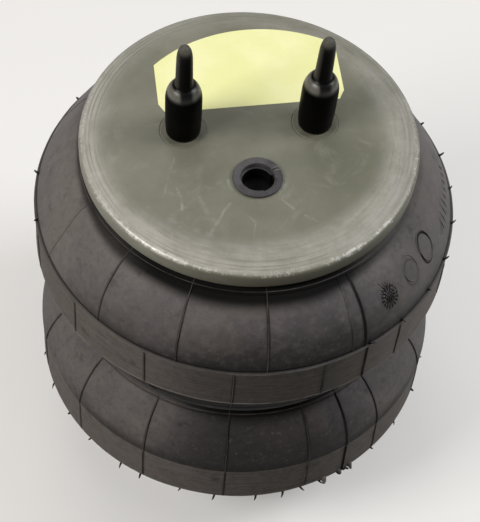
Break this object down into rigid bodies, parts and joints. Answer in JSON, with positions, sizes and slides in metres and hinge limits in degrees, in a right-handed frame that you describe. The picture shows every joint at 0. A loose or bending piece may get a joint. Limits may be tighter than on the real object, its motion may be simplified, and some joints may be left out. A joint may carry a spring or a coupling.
{
  "type": "air bellows actuator",
  "caption": "Rubber bellows with stacked convolutions crimped into round steel bead plates; air lifts the upper plate. Threaded studs under soft caps, plugged air port.",
  "frame": {"origin": "middle of the lower bead plate's outer face, which is the middle of the box's bottom", "axes": "+Z along the stroke, towards the upper plate; +X along the line of the studs; -Y towards the air port"},
  "size_m": [0.2942, 0.2942, 0.3921],
  "materials": {
    "plate_paint": "satin olive grey",
    "bare_steel": "plain",
    "zinc_steel": "zinc plated",
    "hoop_steel": "black coated",
    "bellows_rubber": "matte moulded",
    "bumper_rubber": "matte moulded",
    "cap_vinyl": "glossy dipped vinyl",
    "plug_plastic": "satin"
  },
  "bodies": {
    "base": {"lower_bead_plate": "plate_paint", "lower_bead_wire": "bare_steel", "lower_bead": "bellows_rubber", "lower_convolution": "bellows_rubber", "left_blind_nut": "zinc_steel", "right_blind_nut": "zinc_steel", "bumper_button": "bare_steel", "bumper": "bumper_rubber"},
    "girdle": {"waist": "bellows_rubber", "girdle_hoop": "hoop_steel"},
    "top": {"upper_convolution": "bellows_rubber", "upper_bead": "bellows_rubber", "upper_bead_wire": "bare_steel", "upper_bead_plate": "plate_paint", "left_stud": "zinc_steel", "right_stud": "zinc_steel", "port_boss": "bare_steel"},
    "left_cap": {"left_stud_cap": "cap_vinyl"},
    "right_cap": {"right_stud_cap": "cap_vinyl"},
    "plug": {"port_plug": "plug_plastic"}
  },
  "joints": [
    {"name": "lower_stroke", "type": "slide", "parent": "base", "child": "girdle", "axis": [0, 0, 1], "range_m": [-0.09, 0], "stiffness_N_per_m": 2500, "springref_m": 0.025, "deforming": ["lower_convolution"]},
    {"name": "upper_stroke", "type": "slide", "parent": "girdle", "child": "top", "axis": [0, 0, 1], "range_m": [-0.09, 0], "stiffness_N_per_m": 2500, "springref_m": 0.025, "deforming": ["upper_convolution"]},
    {"name": "left_cap_pull", "type": "slide", "parent": "top", "child": "left_cap", "axis": [0, 0, 1], "range_m": [0, 0.036]},
    {"name": "right_cap_pull", "type": "slide", "parent": "top", "child": "right_cap", "axis": [0, 0, 1], "range_m": [0, 0.036]},
    {"name": "port_plug_pull", "type": "slide", "parent": "top", "child": "plug", "axis": [0, 0, 1], "range_m": [0, 0.02]}
  ],
  "couplings": [
    {"joint": "upper_stroke", "follows": "lower_stroke", "ratio": 1}
  ]
}
